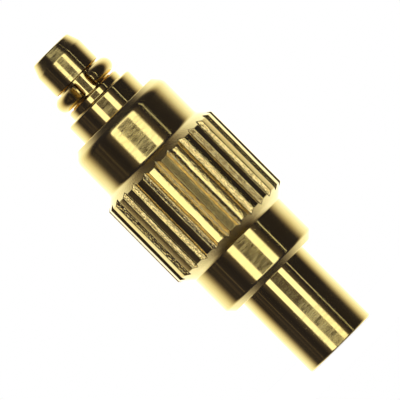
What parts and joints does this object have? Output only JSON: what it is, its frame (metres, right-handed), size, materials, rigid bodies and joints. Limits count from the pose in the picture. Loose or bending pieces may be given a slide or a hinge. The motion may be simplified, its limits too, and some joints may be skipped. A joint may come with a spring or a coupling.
{
  "type": "coaxial adapter",
  "caption": "Slim in-line coaxial adapter: snap-in plug with a spring ring at one end, plain tubular jack at the other, straight-knurled grip between.",
  "frame": {"origin": "centre of the jack's face, where the adapter stands", "axes": "+Z along the adapter's axis, from the jack towards the plug's nose; the snap ring's gap faces -Y"},
  "size_m": [0.006, 0.006, 0.0174],
  "materials": {
    "gold_body": "bright gold plate over turned and knurled brass",
    "gold_sleeve": "bright gold plate over turned brass",
    "gold_spring": "bright gold plate over spring alloy",
    "gold_contact": "bright gold plate over spring alloy",
    "insulator": "waxy white turned plastic"
  },
  "bodies": {
    "adapter": {"grip_body": "gold_body", "plug_sleeve": "gold_sleeve", "centre_contact": "gold_contact", "plug_insulator": "insulator", "jack_insulator": "insulator"},
    "ring": {"snap_ring": "gold_spring"}
  },
  "joints": [
    {"name": "ring_spin", "type": "hinge", "parent": "adapter", "child": "ring", "pos_m": [0, 0, 0.01533], "axis": [0, 0, 1], "continuous": true}
  ]
}
